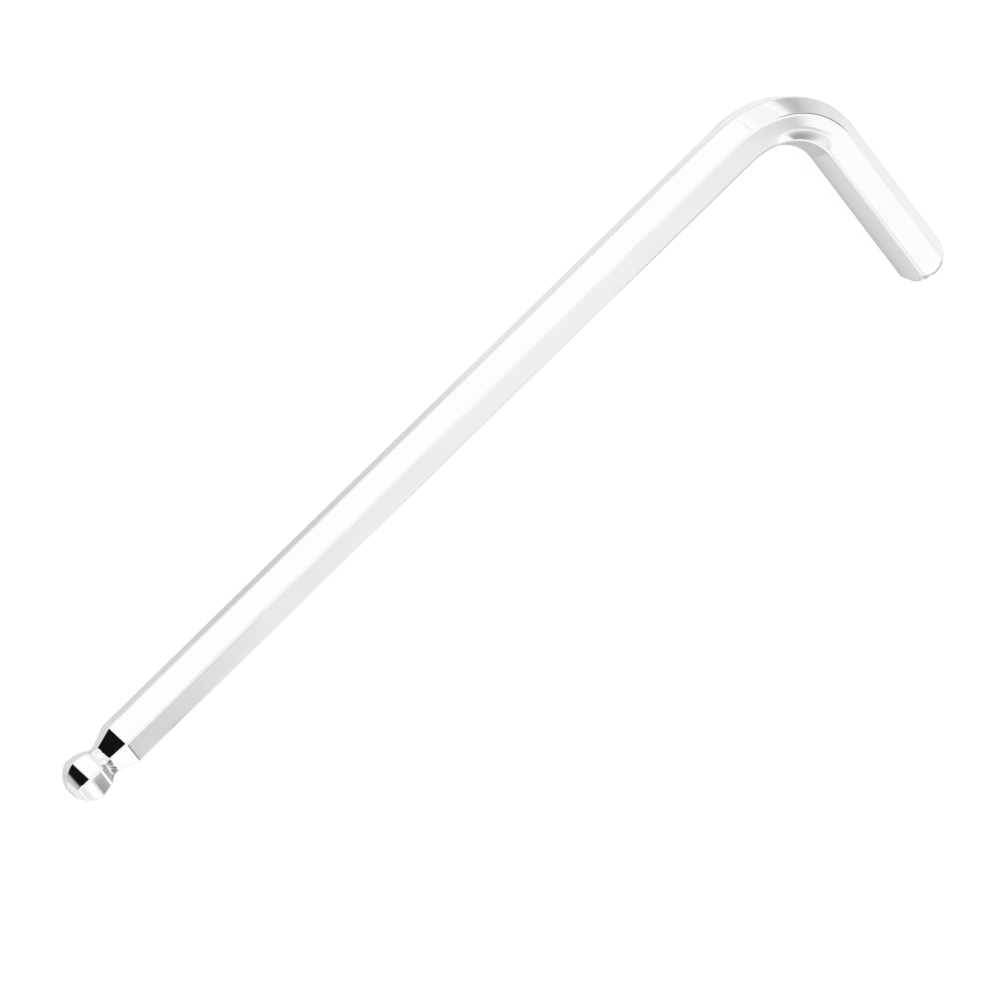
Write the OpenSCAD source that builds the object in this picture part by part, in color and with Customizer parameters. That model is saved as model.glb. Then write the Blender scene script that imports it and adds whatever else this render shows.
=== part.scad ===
// Ball-end hex key, made of one hexagonal bar that is bent once.
// It lies on a flat of the bar: long arm along X with the ball towards +X,
// short arm along +Y. The origin is the middle of its base.

/* [Bar] */
// Size of the hexagon across its flats
across_flats = 6; // [5:0.5:8]
// How much the drawn bar's corners stay short of a sharp hexagon
corner_trim = 0.064; // [0.02:0.002:0.2]

/* [Arms] */
// Long arm, from the outer corner of the bend to the nose of the ball
long_len = 130; // [90:0.5:200]
// Short arm, from the outer corner of the bend to its end
short_len = 39; // [28:0.5:60]
// Radius of the bend at the middle of the bar
bend_r = 10.2; // [6:0.2:16]

/* [Short end] */
// How far the turned chamfer goes in from the bar's corners
end_chamfer = 0.6; // [0.4:0.05:1.2]
// Angle between the chamfer and the arm's axis
end_chamfer_angle = 25; // [15:1:45]

/* [Ball] */
// From the nose to the place where the faces start to fall to the neck
ball_back = 3.35; // [3:0.05:5]
// Length of the full-width band between the neck side and the nose side
band_len = 0.9; // [0.2:0.1:1.5]
// Radius of the ball's faces on the neck side
ball_face_r = 2.9; // [2.5:0.1:4.5]
// Radius of the ball's faces on the nose side
nose_face_r = 3.3; // [3:0.1:6]
// Width across the small flat on the nose
nose_flat = 1.6; // [0.6:0.1:3]

/* [Neck] */
// Depth of the neck below the bar's flats
neck_depth = 0.88; // [0.4:0.02:1.3]
// Radius of the rounded bottom of the neck
neck_r = 1.1; // [0.5:0.1:3]
// Slope of the shoulder that leads from the bar down to the neck
shoulder_angle = 18.5; // [12:0.5:45]

/* [Hidden] */
$fn = 96;

// Bar
flat_r = across_flats / 2;
corner_r = across_flats / sqrt(3) - corner_trim;
// Blanks stand this far past the bar before they are cut to it
spare = 1;
// Neighbouring curves cross by this much, so that they meet in a clean edge
lap = 0.004;

// Places of the two straight arms, with the centre of the bend as zero
bend_x = corner_r + bend_r - long_len / 2;
bend_y = corner_r + bend_r - short_len / 2;
nose_x = long_len - corner_r - bend_r;
end_y = short_len - corner_r - bend_r;

// Short end
end_face_r = corner_r - end_chamfer;
chamfer_len = end_chamfer / tan(end_chamfer_angle);

// Ball, seen from the side: distances back from the nose, heights from the axis
crease_back = ball_back - band_len;
ball_mid = [ball_back, flat_r - ball_face_r + lap];
nose_mid = arc_middle([crease_back, flat_r + lap], [0, nose_flat / 2], nose_face_r);

// Neck: an arc that runs into the ball's face on one side, the shoulder on the other
neck_h = flat_r - neck_depth + neck_r;
middles_apart = ball_face_r + neck_r - lap;
neck_mid = [ball_back + sqrt(pow(middles_apart, 2) - pow(neck_h - ball_mid.y, 2)), neck_h];
shoulder_foot = neck_mid + (neck_r - lap) * [sin(shoulder_angle), -cos(shoulder_angle)];
shoulder_rise = flat_r + spare - shoulder_foot.y;
shoulder_top = shoulder_foot + [shoulder_rise / tan(shoulder_angle), shoulder_rise];

// Middle of the arc of radius r from point a to point b, on the arc's hollow side
function arc_middle(a, b, r) =
    let (d = b - a, half = norm(d) / 2, across = [-d.y, d.x] / norm(d))
    (a + b) / 2 + across * sqrt(r * r - half * half);

// Strip between two opposite flats of the bar
module flats(turn) {
    rotate(turn) square([2 * (corner_r + spare), across_flats], center = true);
}

// Hexagon with trimmed corners, two of its flats parallel to the L
module bar_section() {
    intersection() {
        circle(r = corner_r);
        flats(0);
        flats(60);
        flats(120);
    }
}

// What the neck takes from one side of the bar, above the axis
module neck_cut() {
    difference() {
        union() {
            translate(neck_mid) circle(r = neck_r);
            polygon([
                shoulder_top,
                shoulder_foot,
                neck_mid,
                ball_mid,
                [ball_back, flat_r + spare]
            ]);
        }
        translate(ball_mid) circle(r = ball_face_r);
    }
}

// What the nose takes from one side of the bar, above the axis
module nose_cut() {
    difference() {
        translate([-2 * spare, 0]) square([crease_back + 2 * spare, flat_r + spare]);
        translate(nose_mid) circle(r = nose_face_r);
    }
}

// Side view of the long arm, with the nose at zero and the bend towards +X
module arm_outline() {
    difference() {
        translate([-spare, -flat_r]) square([nose_x + 2 * spare, across_flats]);
        for (side = [0, 1]) mirror([0, side]) {
            neck_cut();
            nose_cut();
        }
    }
}

// Slab that carries the arm's outline on two opposite flats
module arm_slab(turn) {
    rotate([90 + turn, 0, 0])
        linear_extrude(height = 2 * (corner_r + spare), center = true) arm_outline();
}

// Long arm: what three slabs at 60 degrees have in common, its corners trimmed
module long_arm() {
    translate([nose_x, 0, 0])
        mirror([1, 0, 0])
            intersection() {
                rotate([0, 90, 0]) cylinder(r = corner_r, h = nose_x);
                arm_slab(0);
                arm_slab(60);
                arm_slab(120);
            }
}

// Quarter turn of the bar about the centre of the bend
module bend() {
    rotate_extrude(angle = 90, start = 180)
        translate([bend_r, 0]) bar_section();
}

// Short arm, its end turned to a chamfer
module short_arm() {
    rotate([-90, 0, 0])
        intersection() {
            linear_extrude(height = end_y) bar_section();
            rotate_extrude()
                polygon([
                    [0, 0],
                    [corner_r, 0],
                    [corner_r, end_y - chamfer_len],
                    [end_face_r, end_y],
                    [0, end_y]
                ]);
        }
}

// Whole key, lying on its lower flat
module hex_key() {
    color("gainsboro")
        translate([bend_x, bend_y, flat_r])
            union() {
                translate([0, -bend_r, 0]) long_arm();
                bend();
                translate([-bend_r, 0, 0]) short_arm();
            }
}

hex_key();
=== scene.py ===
"""Looks of a ball-end hex key: its smooth chromed bar, and a pale stage with boards round it."""

import math
from typing import NamedTuple

import bmesh
import bpy
from bpy.props import FloatProperty, FloatVectorProperty, PointerProperty
from bpy.types import Operator, Panel, PropertyGroup
from mathutils import Matrix, Vector


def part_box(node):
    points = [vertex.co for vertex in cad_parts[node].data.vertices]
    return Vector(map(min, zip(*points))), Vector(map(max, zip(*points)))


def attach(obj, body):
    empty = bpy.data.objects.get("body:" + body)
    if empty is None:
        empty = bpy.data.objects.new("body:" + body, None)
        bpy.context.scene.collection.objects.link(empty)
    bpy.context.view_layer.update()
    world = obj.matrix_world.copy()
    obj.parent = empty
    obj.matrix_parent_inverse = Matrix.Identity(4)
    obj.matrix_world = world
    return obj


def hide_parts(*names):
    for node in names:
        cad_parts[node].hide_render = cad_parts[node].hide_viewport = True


bl_info = {
    "name": "Ball-end hex key",
    "version": (1, 0, 0),
    "blender": (4, 5, 0),
    "location": "3D View > Sidebar > Hex Key",
    "description": "Models a chromed hex key with a ball end and sets up its stage",
    "category": "Object",
}

MM = 0.001
NODE = "hex_key"
SPACE = "bar_space"
EDGE = "edge_mask"
TURNED = "turned_mask"
# Narrow strips beside an edge keep the faces next to it flat in their shading
STRIP = 0.03 * MM

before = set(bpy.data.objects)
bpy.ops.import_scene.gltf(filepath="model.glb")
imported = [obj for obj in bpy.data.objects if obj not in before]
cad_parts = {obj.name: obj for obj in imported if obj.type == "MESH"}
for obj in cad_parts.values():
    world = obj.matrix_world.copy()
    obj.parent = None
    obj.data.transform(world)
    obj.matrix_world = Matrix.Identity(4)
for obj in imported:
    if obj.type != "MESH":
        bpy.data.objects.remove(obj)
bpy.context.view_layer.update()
LOW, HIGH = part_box(NODE)


# Settings


class KeySizes(PropertyGroup):
    """Sizes of the bent bar."""

    across_flats: FloatProperty(
        name="Across flats",
        description="Width of the hexagon across its flats",
        default=HIGH.z - LOW.z,
        unit="LENGTH",
        subtype="DISTANCE",
    )
    edge_radius: FloatProperty(
        name="Edge radius",
        description="Rounding of the six drawn edges of the bar",
        default=0.42 * MM,
        unit="LENGTH",
        subtype="DISTANCE",
    )
    corner_trim: FloatProperty(
        name="Corner trim",
        description="How much the bar's corners stay short of a sharp hexagon",
        default=0.064 * MM,
        unit="LENGTH",
        subtype="DISTANCE",
    )
    bend_radius: FloatProperty(
        name="Bend radius",
        description="Radius of the bend at the middle of the bar",
        default=10.2 * MM,
        unit="LENGTH",
        subtype="DISTANCE",
    )
    end_chamfer: FloatProperty(
        name="End chamfer",
        description="How far the turned chamfer of the short end goes in from the corners",
        default=0.6 * MM,
        unit="LENGTH",
        subtype="DISTANCE",
    )
    end_chamfer_angle: FloatProperty(
        name="Chamfer angle",
        description="Angle between the chamfer and the arm's axis",
        default=math.radians(25),
        unit="ROTATION",
        subtype="ANGLE",
    )
    outer_pull: FloatProperty(
        name="Outer pull",
        description="How far the outer corner of the bend is drawn in by the bending",
        default=0.35 * MM,
        unit="LENGTH",
        subtype="DISTANCE",
    )
    outer_spread: FloatProperty(
        name="Outer spread",
        description="How far the edges next to the outer corner are pushed out by the bending",
        default=0.25 * MM,
        unit="LENGTH",
        subtype="DISTANCE",
    )
    outer_thinning: FloatProperty(
        name="Outer thinning",
        description="How much lower the bar's flats lie at the outside of the bend",
        default=0.07 * MM,
        unit="LENGTH",
        subtype="DISTANCE",
    )
    inner_crown: FloatProperty(
        name="Inner crown",
        description="How far the bar's flats fall to the inner edge of the bend",
        default=0.15 * MM,
        unit="LENGTH",
        subtype="DISTANCE",
    )


class BallSizes(PropertyGroup):
    """Sizes of the ball end, its neck and its shoulder."""

    shoulder_slope: FloatProperty(
        name="Shoulder slope",
        description="Slope of the shoulder that leads down to the neck",
        default=math.radians(19.5),
        unit="ROTATION",
        subtype="ANGLE",
    )
    neck_radius: FloatProperty(
        name="Neck radius",
        description="Radius of the rounded bottom of the neck",
        default=1.5 * MM,
        unit="LENGTH",
        subtype="DISTANCE",
    )
    back_slope: FloatProperty(
        name="Back slope",
        description="Steepest slope of the ball's back, where it leaves the neck",
        default=math.radians(36),
        unit="ROTATION",
        subtype="ANGLE",
    )
    back_length: FloatProperty(
        name="Back length",
        description="Length of the ball's back along its surface",
        default=1.05 * MM,
        unit="LENGTH",
        subtype="DISTANCE",
    )
    band_length: FloatProperty(
        name="Band length",
        description="Length of the nearly level band behind the crease",
        default=1.5 * MM,
        unit="LENGTH",
        subtype="DISTANCE",
    )
    band_back_slope: FloatProperty(
        name="Band's back slope",
        description="Slope of the band at its neck side",
        default=math.radians(13),
        unit="ROTATION",
        subtype="ANGLE",
    )
    band_front_slope: FloatProperty(
        name="Band's front slope",
        description="Slope of the band at the crease",
        default=math.radians(6),
        unit="ROTATION",
        subtype="ANGLE",
    )
    nose_length: FloatProperty(
        name="Nose length",
        description="From the crease to the nose",
        default=2.45 * MM,
        unit="LENGTH",
        subtype="DISTANCE",
    )
    nose_radius: FloatProperty(
        name="Nose radius",
        description="Radius of the ball's faces between the crease and the nose",
        default=3.3 * MM,
        unit="LENGTH",
        subtype="DISTANCE",
    )
    nose_flat: FloatProperty(
        name="Nose flat",
        description="Width across the small flat on the nose",
        default=1.6 * MM,
        unit="LENGTH",
        subtype="DISTANCE",
    )
    nose_rounding: FloatProperty(
        name="Nose rounding",
        description="Radius of the rim round the flat on the nose",
        default=0.7 * MM,
        unit="LENGTH",
        subtype="DISTANCE",
    )


class ChromeLook(PropertyGroup):
    """Finish of the plated bar."""

    colour: FloatVectorProperty(
        name="Chrome",
        description="Colour of the bright plating",
        subtype="COLOR",
        size=3,
        min=0,
        max=1,
        default=(0.95, 0.953, 0.96),
    )
    worn_colour: FloatVectorProperty(
        name="Worn edge",
        description="Colour of the plating where the edges have been handled",
        subtype="COLOR",
        size=3,
        min=0,
        max=1,
        default=(0.8, 0.805, 0.82),
    )
    turned_colour: FloatVectorProperty(
        name="Tool marks",
        description="Colour of the plating in the marks that turning left in the neck",
        subtype="COLOR",
        size=3,
        min=0,
        max=1,
        default=(0.3, 0.3, 0.31),
    )
    polish: FloatProperty(
        name="Polish",
        description="Roughness of the cleanest plating",
        subtype="FACTOR",
        min=0,
        max=1,
        default=0.06,
    )
    smudge: FloatProperty(
        name="Smudges",
        description="Roughness that finger marks add",
        subtype="FACTOR",
        min=0,
        max=1,
        default=0.07,
    )


class StageLook(PropertyGroup):
    """Camera, floor and tent."""

    azimuth: FloatProperty(
        name="Azimuth",
        description="Direction of the camera round the key, from the front towards the right",
        default=math.radians(12.32),
        unit="ROTATION",
        subtype="ANGLE",
    )
    elevation: FloatProperty(
        name="Elevation",
        description="Height of the camera above the horizon",
        default=math.radians(49.44),
        unit="ROTATION",
        subtype="ANGLE",
    )
    roll: FloatProperty(
        name="Roll",
        description="Turn of the picture about the line of sight",
        default=math.radians(126.2),
        unit="ROTATION",
        subtype="ANGLE",
    )
    distance: FloatProperty(
        name="Distance",
        description="From the camera to the key",
        default=4.5,
        unit="LENGTH",
        subtype="DISTANCE",
    )
    frame_width: FloatProperty(
        name="Frame width",
        description="Width of the picture at the key",
        default=124.76 * MM,
        unit="LENGTH",
        subtype="DISTANCE",
    )
    aim: FloatVectorProperty(
        name="Aim",
        description="Where the camera looks, from the centre of the bend",
        default=(50.37 * MM, 7.16 * MM, -3.21 * MM),
        unit="LENGTH",
        subtype="TRANSLATION",
    )
    floor_colour: FloatVectorProperty(
        name="Floor",
        description="Colour of the floor",
        subtype="COLOR",
        size=3,
        min=0,
        max=1,
        default=(0.86, 0.86, 0.86),
    )
    shadow: FloatProperty(
        name="Shadow",
        description="How much of the key's shadow the camera sees on the floor",
        subtype="FACTOR",
        min=0,
        max=1,
        default=0.3,
    )
    tent_strength: FloatProperty(
        name="Tent strength",
        description="Brightness of the white tent round the key",
        min=0,
        max=2,
        default=1.03,
    )


# Shared steps of the modelling

# Points round the bar: steps in each rounded edge, and cuts across each flat
EDGE_STEPS = 6
FLAT_CUTS = 9
# Edge wear where a rounded edge runs into a flat, with 1 on the edge itself
RIM_WEAR = 0.75
# Rings along each stretch of the key
SHORT_ARM_RINGS = 8
CAP_RINGS = 4
BEND_RINGS = 72
SHANK_RINGS = 40
SHOULDER_EDGE_RINGS = 5
NECK_RINGS = 20
BACK_RINGS = 12
BAND_RINGS = 8
CREASE_RINGS = 4
NOSE_RINGS = 26
RIM_RINGS = 10
# Shares of the shoulder between its rings, small at both ends to keep it flat in its shading
SHOULDER_PARTS = (0.03, 0.17, 0.2, 0.2, 0.2, 0.17, 0.03)
# Lengths of the rounded edge between shank and shoulder and of the rounded crease of the ball
SHOULDER_EDGE = 0.2 * MM
CREASE = 0.05 * MM
# The last rings before the chamfer and before the shoulder stand this far from them
CHAMFER_LEAD = 0.3 * MM
SHOULDER_LEAD = 0.15 * MM
# Rounding between the chamfer and the flat end of the short arm
END_ROUNDING = 0.08 * MM
# Vertices nearer than this are one
SAME = 0.0002 * MM
# Reach of the forming along the bar, in halves of the bend
FORM_REACH = 1.5
# Inner crown: its middle and half length along the bar, and where it starts and is full across it
CROWN_MIDDLE = -1.7 * MM
CROWN_REACH = 5.4 * MM
CROWN_START = 0.2 * MM
CROWN_FULL = 1.9 * MM
# Tool marks: rings over which they come and go, how deep they are off the upper flat with 1
# on it, and the share of half the bar's height from which they grow to that 1
MARKS_COME = 4
MARKS_GO = 5
SIDE_MARKS = 0.35
MARKS_LEVEL = 0.95


def corner_distance(sizes):
    """From the bar's axis to one of its trimmed corners."""
    return sizes.across_flats / math.sqrt(3) - sizes.corner_trim


def bend_centre(sizes):
    """Centre of the bend, at the height of the bar's axis."""
    out = corner_distance(sizes) + sizes.bend_radius
    return Vector((LOW.x + out, LOW.y + out, (LOW.z + HIGH.z) / 2))


def new_piece(name, mesh_data, material):
    """Wraps a finished bmesh in an object at the origin."""
    mesh = bpy.data.meshes.new(name)
    mesh_data.to_mesh(mesh)
    mesh_data.free()
    piece = bpy.data.objects.new(name, mesh)
    bpy.context.scene.collection.objects.link(piece)
    mesh.materials.append(material)
    return piece


def smooth(value, start, end):
    """0 before start, 1 after end, and an even curve between."""
    share = min(max((value - start) / (end - start), 0), 1)
    return share * share * (3 - 2 * share)


def hump(value, middle, reach):
    """1 at the middle, falling evenly to 0 at that reach on either side of it."""
    return math.cos(min(abs(value - middle) / reach, 1) * math.pi / 2) ** 2


def ring_verts(edges):
    """The vertices of a loop of edges."""
    return list({v for e in edges for v in e.verts})


def ring_size(edges, middle):
    """From the middle of a ring to its farthest vertex."""
    return max((v.co - middle).length for v in ring_verts(edges))


def extrude_ring(bm, edges, step=(0, 0, 0)):
    """Extrudes a ring of edges by a step and returns the new ring's edges."""
    made = bmesh.ops.extrude_edge_only(bm, edges=edges)["geom"]
    verts = [g for g in made if isinstance(g, bmesh.types.BMVert)]
    bmesh.ops.translate(bm, verts=verts, vec=step)
    return [g for g in made if isinstance(g, bmesh.types.BMEdge) and g.is_boundary]


def scale_ring(bm, edges, middle, ratio):
    """Scales a ring about a point on its axis."""
    shift = Matrix.Translation(-middle)
    bmesh.ops.scale(bm, verts=ring_verts(edges), vec=(ratio,) * 3, space=shift)


def from_axis(vert, axis):
    """How a vertex stands off an axis that runs along Y."""
    return Vector((vert.co.x - axis.x, 0, vert.co.z - axis.z))


def chamfer_ring(bm, edges, axis, cone, past):
    """Extrudes a ring along +Y to where its vertices meet a turned cone, or past that along it."""
    start, radius, slope = cone
    edges = extrude_ring(bm, edges)
    for vert in ring_verts(edges):
        out = from_axis(vert, axis)
        along = start + (radius - out.length) / slope + past
        out *= 1 - max(past, 0) * slope / out.length
        vert.co = Vector((axis.x, along, axis.z)) + out
    return edges


def round_ring(bm, edges, middle, radius):
    """Extrudes a ring to a circle about a point on an axis that runs along Y."""
    edges = extrude_ring(bm, edges)
    for vert in ring_verts(edges):
        out = from_axis(vert, middle)
        out *= radius / out.length
        vert.co = middle + out
    return edges


def cap_ring(bm, edges, middle, step, rounding):
    """Closes a ring with a flat face behind a small rounding."""
    size = ring_size(edges, middle)
    for i in range(CAP_RINGS):
        last = math.radians(90 * i / CAP_RINGS)
        angle = math.radians(90 * (i + 1) / CAP_RINGS)
        forward = rounding * (math.sin(angle) - math.sin(last))
        edges = extrude_ring(bm, edges, step * forward)
        middle = middle + step * forward
        now = size - rounding * (1 - math.cos(angle))
        before = size - rounding * (1 - math.cos(last))
        scale_ring(bm, edges, middle, now / before)
    close_ring(bm, edges, middle)


def close_ring(bm, edges, middle):
    """Fills a ring with a flat face inside a narrow strip."""
    size = ring_size(edges, middle)
    edges = extrude_ring(bm, edges)
    scale_ring(bm, edges, middle, 1 - STRIP / size)
    bmesh.ops.contextual_create(bm, geom=edges)


def section_ring(bm, sizes, middle):
    """Rounded hexagon at the start of the bar, two of its flats level."""
    sharp = sizes.across_flats / math.sqrt(3)
    made = bmesh.ops.create_circle(bm, cap_ends=True, segments=6, radius=sharp)
    for degrees, axis in ((90, "X"), (30, "Y")):
        turn = Matrix.Rotation(math.radians(degrees), 4, axis)
        bmesh.ops.rotate(bm, verts=made["verts"], cent=(0, 0, 0), matrix=turn)
    bmesh.ops.bevel(
        bm,
        geom=list(bm.verts),
        offset=sizes.edge_radius * math.tan(math.radians(30)),
        segments=EDGE_STEPS,
        profile=0.5,
        affect="VERTICES",
        material=-1,
    )
    flats = [e for e in bm.edges if e.calc_length() > sizes.across_flats / 4]
    bmesh.ops.delete(bm, geom=list(bm.faces), context="FACES_ONLY")
    rims = {v for e in flats for v in e.verts}
    mask = bm.verts.layers.float[EDGE]
    for vert in bm.verts:
        vert[mask] = RIM_WEAR if vert in rims else 1.0
    cut = bmesh.ops.subdivide_edges(bm, edges=flats, cuts=FLAT_CUTS)
    for item in cut["geom_inner"]:
        if isinstance(item, bmesh.types.BMVert):
            item[mask] = 0.0
    # A narrow strip at each end of a flat, where a long edge meets a short one
    ends = []
    for vert in bm.verts:
        short, long = sorted(vert.link_edges, key=lambda e: e.calc_length())
        if long.calc_length() > 1.5 * short.calc_length():
            ends.append((long, vert))
    for edge, vert in ends:
        _, new = bmesh.utils.edge_split(edge, vert, STRIP / edge.calc_length())
        new[mask] = 0.0
    bmesh.ops.translate(bm, verts=list(bm.verts), vec=middle)
    return list(bm.edges)


def arc_steps(slopes, length, count):
    """Steps (along, up) of an arc of that length whose slope goes evenly from one to the other."""
    start, end = slopes
    steps = []
    for i in range(count):
        slope = start + (end - start) * (i + 0.5) / count
        steps.append((length / count * math.cos(slope), length / count * math.sin(slope)))
    return steps


def nose_steps(ball, height):
    """Steps of the arc from the crease forward, and of the rounding that ends it at the flat."""
    drop = height - ball.nose_flat / 2
    chord = math.hypot(ball.nose_length, drop)
    lean = math.atan2(drop, ball.nose_length)
    half = math.asin(chord / 2 / ball.nose_radius)
    start, end = lean - half, lean + half
    # The rounding starts where it reaches the nose's length together with the arc
    run = 1.0
    fine_turn = math.radians(0.05)
    while run > ball.nose_length:
        end -= fine_turn
        run = ball.nose_radius * (math.sin(end) - math.sin(start))
        run += ball.nose_rounding * (1 - math.sin(end))
    arc = arc_steps((-start, -end), (end - start) * ball.nose_radius, NOSE_RINGS)
    turn = math.pi / 2 - end
    rim = arc_steps((-end, -math.pi / 2), turn * ball.nose_rounding, RIM_RINGS)
    return arc + rim


def ball_steps(ball, height):
    """Steps along the long arm's side from the shank's edge to the nose, as lists by part."""
    nose = nose_steps(ball, height)
    fall = math.atan2(nose[0][1], nose[0][0])
    edge = arc_steps((0, -ball.shoulder_slope), SHOULDER_EDGE, SHOULDER_EDGE_RINGS)
    neck_length = ball.neck_radius * (ball.shoulder_slope + ball.back_slope)
    neck = arc_steps((-ball.shoulder_slope, ball.back_slope), neck_length, NECK_RINGS)
    back = arc_steps((ball.back_slope, ball.band_back_slope), ball.back_length, BACK_RINGS)
    band_slopes = (ball.band_back_slope, ball.band_front_slope)
    band = arc_steps(band_slopes, ball.band_length, BAND_RINGS)
    crease = arc_steps((ball.band_front_slope, fall), CREASE, CREASE_RINGS)
    # The shoulder falls by what the other parts climb
    climb = sum(up for _, up in edge + neck + back + band)
    climb += sum(up for _, up in crease if up > 0)
    run = climb / math.tan(ball.shoulder_slope)
    shoulder = edge + [(run * part, -climb * part) for part in SHOULDER_PARTS]
    return shoulder, neck, back + band + crease, nose


def straight_place(point, sizes):
    """Where a point lies on the bar before it is bent, with the middle of the bend at zero."""
    centre = bend_centre(sizes)
    place = point - centre
    quarter = sizes.bend_radius * math.pi / 4
    if place.x >= 0:
        return Vector((quarter + place.x, -place.y - sizes.bend_radius, place.z))
    if place.y >= 0:
        return Vector((-quarter - place.y, -place.x - sizes.bend_radius, place.z))
    turn = math.atan2(-place.x, -place.y)
    out = math.hypot(place.x, place.y) - sizes.bend_radius
    return Vector((quarter - turn * sizes.bend_radius, out, place.z))


def form_bend(bm, sizes):
    """Gives the bend the section that bending leaves: drawn in and thinner at its outside."""
    centre = bend_centre(sizes)
    space = bm.verts.layers.float_vector[SPACE]
    reach = sizes.bend_radius * math.pi / 4 * FORM_REACH
    for vert in bm.verts:
        along, out, height = vert[space]
        weight = hump(along, 0, reach)
        side = min(max(out / (corner_distance(sizes) / 2), 0), 1)
        level = abs(height) / (sizes.across_flats / 2)
        push = -sizes.outer_pull + (sizes.outer_pull + sizes.outer_spread) * level
        push *= weight * side
        drop = sizes.outer_thinning * weight * side
        crown = hump(along, CROWN_MIDDLE, CROWN_REACH)
        drop += sizes.inner_crown * crown * smooth(-out, CROWN_START, CROWN_FULL)
        drop *= level
        away = Vector((-1, 0, 0)) if vert.co.y > centre.y else Vector((0, -1, 0))
        if vert.co.x < centre.x and vert.co.y < centre.y:
            away = (vert.co - centre) * Vector((1, 1, 0))
            away.normalize()
        vert.co += away * push
        vert.co.z -= math.copysign(drop, height)


def put_in_order(bm):
    """Sorts edges and faces by their vertices, because extruding adds them in no fixed order."""
    bm.verts.index_update()
    for parts in (bm.edges, bm.faces):
        ranked = sorted(parts, key=lambda part: sorted(v.index for v in part.verts))
        rank = {part: i for i, part in enumerate(ranked)}
        parts.sort(key=rank.get)


# Chrome

# Heights of the relief in the plating: lines along the bar, its unevenness, and the tool marks
LINE_HEIGHT = 0.0006 * MM
WAVE_HEIGHT = 0.012 * MM
MARK_HEIGHT = 0.1 * MM


def add_attribute(tree, name):
    """Reads an attribute of the mesh."""
    node = tree.nodes.new("ShaderNodeAttribute")
    node.attribute_name = name
    return node


def add_noise(tree, place, scale, detail, roughness=0.5, distortion=0.0):
    """Noise at a place, with its own scale along each axis where three are given."""
    node = tree.nodes.new("ShaderNodeTexNoise")
    if isinstance(scale, tuple):
        stretch = tree.nodes.new("ShaderNodeMapping")
        stretch.inputs["Scale"].default_value = scale
        tree.links.new(place, stretch.inputs["Vector"])
        place, scale = stretch.outputs["Vector"], 1.0
    node.inputs["Scale"].default_value = scale
    node.inputs["Detail"].default_value = detail
    node.inputs["Roughness"].default_value = roughness
    node.inputs["Distortion"].default_value = distortion
    tree.links.new(place, node.inputs["Vector"])
    return node.outputs["Fac"]


def add_range(tree, value, given, wanted):
    """Moves a value evenly from one range to another and stops at its ends."""
    node = tree.nodes.new("ShaderNodeMapRange")
    node.inputs["From Min"].default_value, node.inputs["From Max"].default_value = given
    node.inputs["To Min"].default_value, node.inputs["To Max"].default_value = wanted
    tree.links.new(value, node.inputs["Value"])
    return node.outputs["Result"]


def add_math(tree, operation, value, other):
    """Result of an operation on a value and a number or a second value."""
    node = tree.nodes.new("ShaderNodeMath")
    node.operation = operation
    tree.links.new(value, node.inputs[0])
    if isinstance(other, float):
        node.inputs[1].default_value = other
    else:
        tree.links.new(other, node.inputs[1])
    return node.outputs["Value"]


def add_colour(tree, share, under, over):
    """Mix of a colour, or of another mix, with a second colour over it."""
    node = tree.nodes.new("ShaderNodeMix")
    node.data_type = "RGBA"
    node.inputs["B"].default_value = (*over, 1)
    tree.links.new(share, node.inputs["Factor"])
    if isinstance(under, bpy.types.NodeSocket):
        tree.links.new(under, node.inputs["A"])
    else:
        node.inputs["A"].default_value = (*under, 1)
    return node.outputs["Result"]


def add_relief(tree, value, height, normal=None):
    """Relief of that height, on top of an earlier one where its normal is given."""
    node = tree.nodes.new("ShaderNodeBump")
    node.inputs["Strength"].default_value = 1.0
    node.inputs["Distance"].default_value = height
    tree.links.new(value, node.inputs["Height"])
    if normal is not None:
        tree.links.new(normal, node.inputs["Normal"])
    return node.outputs["Normal"]


def chrome_material(look):
    """Bright plating on a drawn bar: faint lines, finger marks, rubbed edges and tool marks."""
    material = bpy.data.materials.new("bright_chrome_plate")
    material.use_nodes = True
    tree = material.node_tree
    shader = tree.nodes["Principled BSDF"]
    shader.inputs["Metallic"].default_value = 1.0
    place = add_attribute(tree, SPACE).outputs["Vector"]
    edge = add_attribute(tree, EDGE).outputs["Fac"]
    turned = add_attribute(tree, TURNED).outputs["Fac"]

    # Finger marks roughen the plating, and wear follows them along the edges
    fingers = add_noise(tree, place, 130.0, 5.0, roughness=0.6)
    roughness = add_range(tree, fingers, (0.48, 0.75), (look.polish, look.polish + look.smudge))
    tree.links.new(roughness, shader.inputs["Roughness"])
    rubbed = add_math(tree, "MULTIPLY", edge, fingers)
    plating = add_colour(tree, rubbed, look.colour, look.worn_colour)

    # Tool marks curl round the neck, darker where they stand high
    curls = add_noise(tree, place, 750.0, 1.0, distortion=1.2)
    level = add_math(tree, "SUBTRACT", curls, 0.5)
    dark = add_range(tree, level, (-0.1, 0.08), (0.0, 0.8))
    dark = add_math(tree, "MULTIPLY", dark, turned)
    marked = add_colour(tree, dark, plating, look.turned_colour)
    tree.links.new(marked, shader.inputs["Base Color"])

    # Relief: drawn lines, the bar's slight unevenness and the tool marks
    lines = add_noise(tree, place, (25, 5200, 5200), 3.0)
    waves = add_noise(tree, place, (60, 260, 260), 1.0)
    tool_marks = add_math(tree, "MULTIPLY", level, turned)
    normal = add_relief(tree, lines, LINE_HEIGHT)
    normal = add_relief(tree, waves, WAVE_HEIGHT, normal)
    normal = add_relief(tree, tool_marks, MARK_HEIGHT, normal)
    tree.links.new(normal, shader.inputs["Normal"])
    return material


# Key


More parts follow.
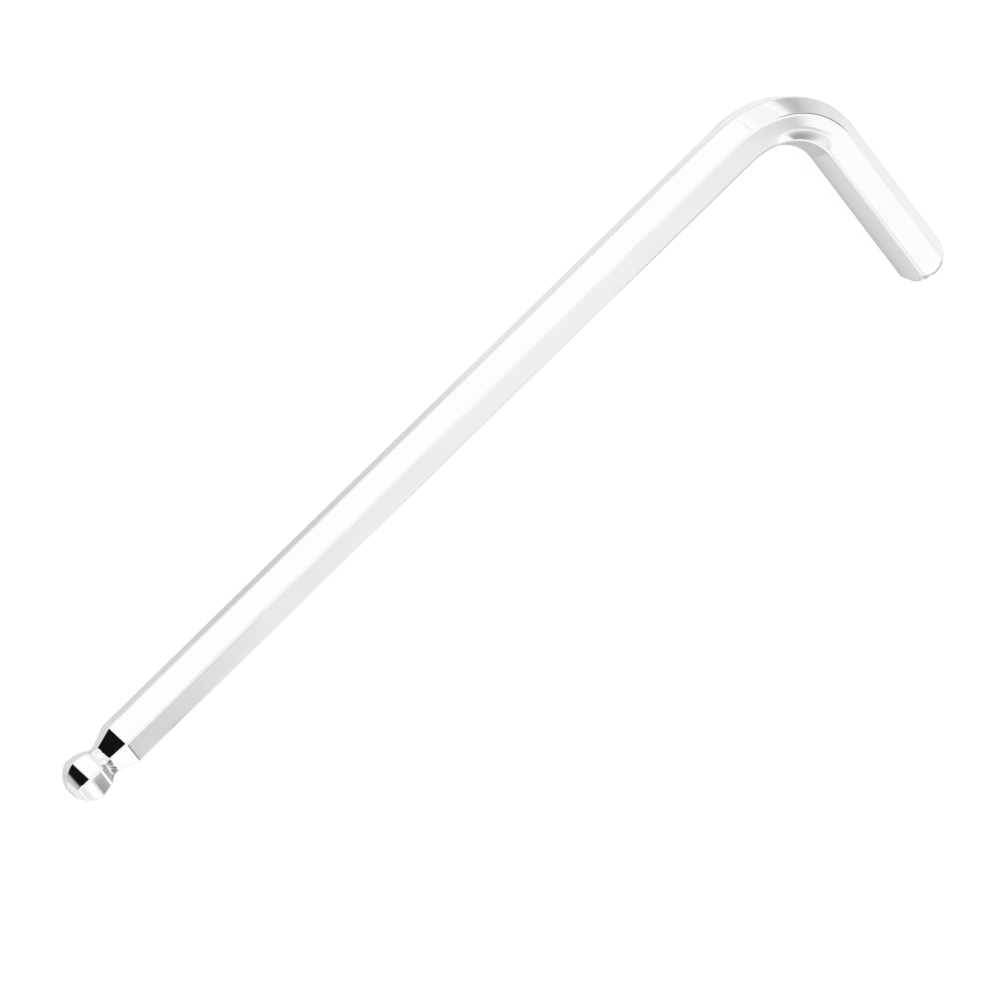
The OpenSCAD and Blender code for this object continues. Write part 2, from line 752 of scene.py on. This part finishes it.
def make_short_arm(bm, sizes, edges, axis):
    """Takes a ring along the short arm to its turned chamfer and closes it with the flat end."""
    corner = corner_distance(sizes)
    slope = math.tan(sizes.end_chamfer_angle)
    cone = (HIGH.y - sizes.end_chamfer / slope, corner, slope)
    plain = cone[0] - axis.y - CHAMFER_LEAD
    for _ in range(SHORT_ARM_RINGS):
        edges = extrude_ring(bm, edges, (0, plain / SHORT_ARM_RINGS, 0))
    for past in (-2 * STRIP, 0, 2 * STRIP):
        edges = chamfer_ring(bm, edges, axis, cone, past)
    rest = corner - sizes.end_chamfer
    middle = Vector((axis.x, HIGH.y - END_ROUNDING, axis.z))
    edges = round_ring(bm, edges, middle, rest + END_ROUNDING * slope)
    cap_ring(bm, edges, middle, Vector((0, 1, 0)), END_ROUNDING)


def make_bend(bm, sizes, edges):
    """Turns a ring by a quarter about the centre of the bend."""
    last = bmesh.ops.spin(
        bm,
        geom=edges,
        cent=bend_centre(sizes),
        axis=(0, 0, 1),
        angle=math.radians(90),
        steps=BEND_RINGS,
        use_merge=False,
    )["geom_last"]
    return [g for g in last if isinstance(g, bmesh.types.BMEdge)]


def make_long_arm(bm, sizes, ball, edges, middle):
    """Takes a ring along the shank and over the shoulder, the neck and the ball, and closes it."""
    height = sizes.across_flats / 2
    profile = ball_steps(ball, height)
    ball_length = sum(along for part in profile for along, _ in part)
    shank = HIGH.x - ball_length - middle.x - SHOULDER_LEAD
    for along in [shank / SHANK_RINGS] * SHANK_RINGS + [SHOULDER_LEAD]:
        step = Vector((along, 0, 0))
        edges = extrude_ring(bm, edges, step)
        middle = middle + step
    turned = bm.verts.layers.float[TURNED]
    for part in profile:
        for i, (along, up) in enumerate(part):
            step = Vector((along, 0, 0))
            edges = extrude_ring(bm, edges, step)
            middle = middle + step
            scale_ring(bm, edges, middle, (height + up) / height)
            height += up
            mark = 0.0
            if part is profile[1]:
                mark = smooth(i, 0, MARKS_COME)
            if part is profile[2]:
                mark = 1 - smooth(i, 0, MARKS_GO)
            for vert in ring_verts(edges):
                top = smooth(vert.co.z - middle.z, MARKS_LEVEL * height, height)
                vert[turned] = mark * (SIDE_MARKS + (1 - SIDE_MARKS) * top)
    close_ring(bm, edges, middle)


class HEXKEY_OT_make_key(Operator):
    """Model the bent bar with its ball end and plate it"""

    bl_idname = "hexkey.make_key"
    bl_label = "Make Key"
    bl_options = {"REGISTER", "UNDO"}

    def execute(self, context):
        sizes = context.scene.hexkey_sizes
        bm = bmesh.new()
        bm.verts.layers.float.new(EDGE)
        bm.verts.layers.float.new(TURNED)
        bm.verts.layers.float_vector.new(SPACE)

        # Both arms and the bend start from one ring, where the bend meets the short arm
        centre = bend_centre(sizes)
        short_axis = centre - Vector((sizes.bend_radius, 0, 0))
        long_start = centre - Vector((0, sizes.bend_radius, 0))
        start = section_ring(bm, sizes, short_axis)
        make_short_arm(bm, sizes, start, short_axis)
        edges = make_bend(bm, sizes, start)
        make_long_arm(bm, sizes, context.scene.hexkey_ball, edges, long_start)

        bmesh.ops.remove_doubles(bm, verts=list(bm.verts), dist=SAME)
        bmesh.ops.recalc_face_normals(bm, faces=list(bm.faces))
        space = bm.verts.layers.float_vector[SPACE]
        for vert in bm.verts:
            vert[space] = straight_place(vert.co, sizes)
        form_bend(bm, sizes)
        put_in_order(bm)
        for face in bm.faces:
            face.smooth = True

        material = chrome_material(context.scene.hexkey_chrome)
        key = new_piece("chromed_bar", bm, material)
        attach(key, "root")
        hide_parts(NODE)
        return {"FINISHED"}


# Stage

# Share of the light that the plating gives back
REFLECTANCE = 0.95
# Boards on the floor lie this high above it
ON_FLOOR = 0.1 * MM
# Brightness of the floor's own white, and how much of it the key mirrors
FLOOR_WHITE = 1.2
MIRRORED_WHITE = 0.14
FLOOR_HALF_WIDTH = 4
# How much of the tent's brightness lights matt surfaces
TENT_ON_MATT = 0.7
LAMP_PLACE = Vector((-0.45, -0.3, 0.6))
LAMP_DIAMETER = 0.35
LAMP_WATTS = 2.6
SENSOR_WIDTH = 36


class Stand(NamedTuple):
    """How a level board is put up: leant by degrees, then stood off a place towards an azimuth."""

    around: tuple
    distance: float
    azimuth: float
    lean: float


def linear(tone):
    """Linear value whose mirror image in the plating has that 8-bit tone."""
    value = tone / 255
    value = ((value + 0.055) / 1.055) ** 2.4 if value > 0.04 else value / 12.92
    return value / REFLECTANCE


def tinted(tone, tint):
    """Colour of a tone on a board; a tint above 0 is warm, one below 0 is cool."""
    value = linear(tone)
    return (value * (1 + tint), value, value * (1 - tint), 1)


def add_mixed(tree, share, under, over):
    """Mix of two shaders."""
    node = tree.nodes.new("ShaderNodeMixShader")
    for value, socket in zip((share, under, over), node.inputs):
        tree.links.new(value, socket)
    return node.outputs["Shader"]


def fading_edges():
    """Node group: how much of a board there is, falling to nothing at its edges."""
    group = bpy.data.node_groups.new("fading_edges", "ShaderNodeTree")
    group.interface.new_socket(name="Place", in_out="INPUT", socket_type="NodeSocketVector")
    for side in "XY":
        group.interface.new_socket(
            name=f"Fade {side}", in_out="INPUT", socket_type="NodeSocketFloat"
        )
    group.interface.new_socket(name="Cover", in_out="OUTPUT", socket_type="NodeSocketFloat")
    given = group.nodes.new("NodeGroupInput")
    put_out = group.nodes.new("NodeGroupOutput")
    split = group.nodes.new("ShaderNodeSeparateXYZ")
    group.links.new(given.outputs["Place"], split.inputs["Vector"])
    covers = []
    for side in "XY":
        # The nearer edge of the two is at 0, the middle of the board at 0.5
        inward = add_math(group, "PINGPONG", split.outputs[side], 0.5)
        edge = group.nodes.new("ShaderNodeMapRange")
        edge.interpolation_type = "SMOOTHSTEP"
        group.links.new(inward, edge.inputs["Value"])
        group.links.new(given.outputs[f"Fade {side}"], edge.inputs["From Max"])
        covers.append(edge.outputs["Result"])
    both = add_math(group, "MULTIPLY", *covers)
    group.links.new(both, put_out.inputs["Cover"])
    return group


def board_material(name, tones, axis, tint, fades):
    """Evenly shining board with tones along one side and edges that fade away."""
    material = bpy.data.materials.new(name)
    material.use_nodes = True
    tree = material.node_tree
    tree.nodes.clear()
    out = tree.nodes.new("ShaderNodeOutputMaterial")
    place = tree.nodes.new("ShaderNodeUVMap").outputs["UV"]
    split = tree.nodes.new("ShaderNodeSeparateXYZ")
    tree.links.new(place, split.inputs["Vector"])

    ramp = tree.nodes.new("ShaderNodeValToRGB")
    ramp.color_ramp.interpolation = "EASE"
    points = ramp.color_ramp.elements
    while len(points) < len(tones):
        points.new(0.5)
    for point, (position, tone) in zip(points, tones):
        point.position = position
        point.color = tinted(tone, tint)
    tree.links.new(split.outputs[axis], ramp.inputs["Fac"])
    glow = tree.nodes.new("ShaderNodeEmission")
    tree.links.new(ramp.outputs["Color"], glow.inputs["Color"])

    cover = tree.nodes.new("ShaderNodeGroup")
    cover.node_tree = bpy.data.node_groups.get("fading_edges") or fading_edges()
    tree.links.new(place, cover.inputs["Place"])
    for side, fade in zip("XY", fades):
        cover.inputs[f"Fade {side}"].default_value = fade
    clear = tree.nodes.new("ShaderNodeBsdfTransparent")
    covered = (cover.outputs["Cover"], clear.outputs["BSDF"], glow.outputs["Emission"])
    tree.links.new(add_mixed(tree, *covered), out.inputs["Surface"])
    return material


def add_board(
    name, low, high, height, tones, axis="X", tint=0.0, fades=(0.02, 0.02), stand=None
):
    """Board that only mirror rays see: level between two corners, or put up on a stand."""
    bm = bmesh.new()
    bm.loops.layers.uv.new("board")
    bmesh.ops.create_grid(bm, x_segments=1, y_segments=1, size=0.5, calc_uvs=True)
    verts = list(bm.verts)
    size = Vector(high) - Vector(low)
    bmesh.ops.scale(bm, verts=verts, vec=(*size, 1))
    middle = (Vector(low) + Vector(high)) / 2
    bmesh.ops.translate(bm, verts=verts, vec=(*middle, height))
    if stand is not None:
        lean = Matrix.Rotation(math.radians(stand.lean), 4, "X")
        bmesh.ops.rotate(bm, verts=verts, cent=(0, 0, 0), matrix=lean)
        bmesh.ops.translate(bm, verts=verts, vec=(0, -stand.distance, 0))
        turn = Matrix.Rotation(math.radians(stand.azimuth), 4, "Z")
        bmesh.ops.rotate(bm, verts=verts, cent=(0, 0, 0), matrix=turn)
        bmesh.ops.translate(bm, verts=verts, vec=(*stand.around, 0))
    board = new_piece(name, bm, board_material(name, tones, axis, tint, fades))
    board.visible_camera = False
    board.visible_diffuse = False
    board.visible_shadow = False
    board.visible_transmission = False


def make_boards():
    """Boards that give the mirror-bright faces their tones; two of them on the floor are a painted
    shadow of the key.
    """
    ball = (HIGH.x - 4 * MM, LOW.y + 3 * MM)
    add_board(
        "top_grey_board",
        low=(-0.0965, 0.03),
        high=(0.0985, 0.1095),
        height=0.15,
        tones=(
            (0.0, 192),
            (0.02, 203),
            (0.04, 222),
            (0.095, 235),
            (0.17, 239),
            (0.32, 239),
            (0.415, 235),
            (0.52, 230),
            (0.605, 216),
            (0.66, 208),
            (0.694, 130),
            (0.9, 115),
            (1.0, 190),
        ),
        tint=-0.012,
        fades=(0.015, 0.025),
    )
    add_board(
        "ball_grey_board",
        low=(-0.0133, -0.0021),
        high=(0.0133, 0.0019),
        height=0.05,
        tones=((0.0, 205), (0.25, 178), (0.6, 165), (1.0, 154)),
        fades=(0.05, 0.08),
        stand=Stand(around=(0.0318, 0.0281), distance=0.0, azimuth=-20, lean=0),
    )
    add_board(
        "bend_dark_board",
        low=(-0.1145, 0.225),
        high=(-0.045, 0.35),
        height=0.3,
        tones=(
            (0.0, 240),
            (0.15, 228),
            (0.29, 205),
            (0.46, 190),
            (0.62, 174),
            (0.78, 160),
            (1.0, 150),
        ),
        axis="Y",
        fades=(0.07, 0.03),
    )
    add_board(
        "black_board",
        low=(-0.15, -0.02),
        high=(0.3, 0.17),
        height=0.0,
        tones=((0.0, 18), (1.0, 18)),
        fades=(0.1, 0.05),
        stand=Stand(around=ball, distance=0.5, azimuth=31, lean=90),
    )
    add_board(
        "low_dark_board",
        low=(-0.06, -0.01),
        high=(0.022, 0.1),
        height=0.0,
        tones=((0.0, 195), (0.35, 190), (0.55, 180), (0.8, 175), (1.0, 190)),
        axis="Y",
        fades=(0.1, 0.06),
        stand=Stand(around=ball, distance=0.2, azimuth=-130, lean=90),
    )
    add_board(
        "left_dark_board",
        low=(-0.09, 0.012),
        high=(0.09, 0.075),
        height=0.0,
        tones=((0.0, 45), (1.0, 45)),
        fades=(0.2, 0.2),
        stand=Stand(around=(LOW.x + 4 * MM, LOW.y + 4 * MM), distance=0.1, azimuth=-92, lean=90),
    )
    add_board(
        "end_grey_board",
        low=(-0.016, -0.001),
        high=(0.016, 0.009),
        height=0.0,
        tones=((0.0, 200), (1.0, 208)),
        fades=(0.1, 0.1),
        stand=Stand(around=(LOW.x - 0.5 * MM, HIGH.y), distance=0.0255, azimuth=180, lean=90),
    )
    add_board(
        "right_pale_board",
        low=(-0.1, 0.02),
        high=(0.1, 0.17),
        height=0.0,
        tones=((0.0, 228), (0.4, 232), (1.0, 246)),
        axis="Y",
        fades=(0.2, 0.2),
        stand=Stand(around=ball, distance=0.25, azimuth=134, lean=90),
    )
    # Painted shadow: a sheet on the floor that glows for mirror rays only, greyer along the long
    # arm's outer edge where the key's contact shadow lies
    add_board(
        "under_bar_painted_shadow",
        low=(-0.053, -0.0215),
        high=(0.0655, -0.0155),
        height=ON_FLOOR,
        tones=(
            (0.0, 234),
            (0.1, 226),
            (0.35, 228),
            (0.45, 214),
            (0.6, 205),
            (0.72, 202),
            (0.84, 211),
            (1.0, 218),
        ),
        fades=(0.03, 0.1),
    )
    add_board(
        "left_floor_board",
        low=(-0.115, -0.028),
        high=(-0.0655, 0.032),
        height=ON_FLOOR,
        tones=(
            (0.0, 255),
            (0.07, 245),
            (0.13, 200),
            (0.165, 189),
            (0.2, 191),
            (0.235, 206),
            (0.28, 216),
            (0.34, 226),
            (0.5, 238),
            (1.0, 241),
        ),
        axis="Y",
        tint=-0.002,
        fades=(0.05, 0.02),
    )
    # Painted shadow: a sheet on the floor inside the bend that glows for mirror rays only, darkest
    # next to the short arm where the key's shadow falls
    add_board(
        "inner_corner_painted_shadow",
        low=(-0.06, -0.0145),
        high=(-0.02, 0.04),
        height=ON_FLOOR,
        tones=(
            (0.0, 190),
            (0.18, 196),
            (0.276, 194),
            (0.324, 208),
            (0.396, 215),
            (0.6, 220),
            (1.0, 240),
        ),
        tint=-0.01,
        fades=(0.02, 0.03),
    )
    add_board(
        "front_floor_board",
        low=(0.067, -0.575),
        high=(0.567, -0.018),
        height=ON_FLOOR,
        tones=((0.0, 196), (0.02, 196), (0.075, 16), (1.0, 16)),
        tint=-0.01,
        fades=(0.002, 0.002),
    )


def make_lamp():
    """Soft lamp from the front left, so that the key's shadow falls behind it."""
    data = bpy.data.lights.new("soft_lamp", "AREA")
    data.shape = "DISK"
    data.size = LAMP_DIAMETER
    data.energy = LAMP_WATTS
    lamp = bpy.data.objects.new("soft_lamp", data)
    bpy.context.scene.collection.objects.link(lamp)
    lamp.location = LAMP_PLACE
    lamp.rotation_mode = "QUATERNION"
    lamp.rotation_quaternion = (-LAMP_PLACE).to_track_quat("-Z", "Y")
    lamp.visible_glossy = False
    lamp.visible_camera = False


def floor_material(look):
    """White floor that keeps the key's shadow."""
    material = bpy.data.materials.new("pale_floor")
    material.use_nodes = True
    tree = material.node_tree
    tree.nodes.clear()
    out = tree.nodes.new("ShaderNodeOutputMaterial")
    paper = tree.nodes.new("ShaderNodeBsdfDiffuse")
    paper.inputs["Color"].default_value = (*look.floor_colour, 1)
    white = tree.nodes.new("ShaderNodeEmission")
    white.inputs["Color"].default_value = (1, 1, 1, 1)
    white.inputs["Strength"].default_value = FLOOR_WHITE
    rays = tree.nodes.new("ShaderNodeLightPath").outputs
    mirrored = add_math(tree, "MAXIMUM", rays["Is Glossy Ray"], rays["Is Transmission Ray"])
    mirrored = add_math(tree, "MULTIPLY", mirrored, MIRRORED_WHITE)
    seen = add_math(tree, "MULTIPLY", rays["Is Camera Ray"], 1 - look.shadow)
    share = add_math(tree, "ADD", seen, mirrored)
    mixed = add_mixed(tree, share, paper.outputs["BSDF"], white.outputs["Emission"])
    tree.links.new(mixed, out.inputs["Surface"])
    return material


def make_floor(look):
    """Level floor under the key."""
    bm = bmesh.new()
    bmesh.ops.create_grid(bm, x_segments=1, y_segments=1, size=FLOOR_HALF_WIDTH)
    floor = new_piece("floor", bm, floor_material(look))


def set_world(look):
    """White tent all round."""
    world = bpy.data.worlds.new("white_tent")
    bpy.context.scene.world = world
    world.use_nodes = True
    tree = world.node_tree
    tree.nodes.clear()
    out = tree.nodes.new("ShaderNodeOutputWorld")
    light = tree.nodes.new("ShaderNodeBackground")
    light.inputs["Color"].default_value = (1, 1, 1, 1)
    path = tree.nodes.new("ShaderNodeLightPath")
    bright = look.tent_strength
    wanted = (bright, bright * TENT_ON_MATT)
    strength = add_range(tree, path.outputs["Is Diffuse Ray"], (0.0, 1.0), wanted)
    tree.links.new(strength, light.inputs["Strength"])
    tree.links.new(light.outputs["Background"], out.inputs["Surface"])


def set_camera(look, sizes):
    """Long lens at the photograph's viewing angle."""
    azimuth, elevation = look.azimuth, look.elevation
    toward = Vector(
        (
            math.sin(azimuth) * math.cos(elevation),
            -math.cos(azimuth) * math.cos(elevation),
            math.sin(elevation),
        )
    )
    level = Vector((0, 0, 1)).cross(toward).normalized()
    upright = toward.cross(level)
    right = level * math.cos(look.roll) + upright * math.sin(look.roll)
    up = toward.cross(right)
    data = bpy.data.cameras.new("camera")
    data.sensor_width = SENSOR_WIDTH
    data.lens = SENSOR_WIDTH * look.distance / look.frame_width
    data.clip_start = 0.1
    data.clip_end = 100
    camera = bpy.data.objects.new("camera", data)
    bpy.context.scene.collection.objects.link(camera)
    place = Matrix((right, up, toward)).transposed().to_4x4()
    place.translation = bend_centre(sizes) + Vector(look.aim) + toward * look.distance
    camera.matrix_world = place
    bpy.context.scene.camera = camera


class HEXKEY_OT_make_stage(Operator):
    """Set up the floor, the tent, the boards and the camera"""

    bl_idname = "hexkey.make_stage"
    bl_label = "Make Stage"
    bl_options = {"REGISTER", "UNDO"}

    def execute(self, context):
        look = context.scene.hexkey_stage
        make_floor(look)
        make_boards()
        make_lamp()
        set_world(look)
        set_camera(look, context.scene.hexkey_sizes)
        context.scene.view_settings.view_transform = "Standard"
        return {"FINISHED"}


class HEXKEY_PT_panel(Panel):
    """Sizes, finish and stage of the hex key"""

    bl_label = "Hex Key"
    bl_idname = "HEXKEY_PT_panel"
    bl_space_type = "VIEW_3D"
    bl_region_type = "UI"
    bl_category = "Hex Key"

    def draw(self, context):
        scene = context.scene
        for group in (
            scene.hexkey_sizes,
            scene.hexkey_ball,
            scene.hexkey_chrome,
            scene.hexkey_stage,
        ):
            box = self.layout.box()
            for name in group.__annotations__:
                box.prop(group, name)
        self.layout.operator(HEXKEY_OT_make_key.bl_idname)
        self.layout.operator(HEXKEY_OT_make_stage.bl_idname)


CLASSES = (
    KeySizes,
    BallSizes,
    ChromeLook,
    StageLook,
    HEXKEY_OT_make_key,
    HEXKEY_OT_make_stage,
    HEXKEY_PT_panel,
)
GROUPS = {
    "hexkey_sizes": KeySizes,
    "hexkey_ball": BallSizes,
    "hexkey_chrome": ChromeLook,
    "hexkey_stage": StageLook,
}


def register():
    for cls in CLASSES:
        bpy.utils.register_class(cls)
    for name, group in GROUPS.items():
        setattr(bpy.types.Scene, name, PointerProperty(type=group))


def unregister():
    for name in GROUPS:
        delattr(bpy.types.Scene, name)
    for cls in reversed(CLASSES):
        bpy.utils.unregister_class(cls)


def main():
    register()
    bpy.ops.hexkey.make_key()
    bpy.ops.hexkey.make_stage()


if __name__ == "__main__":
    main()
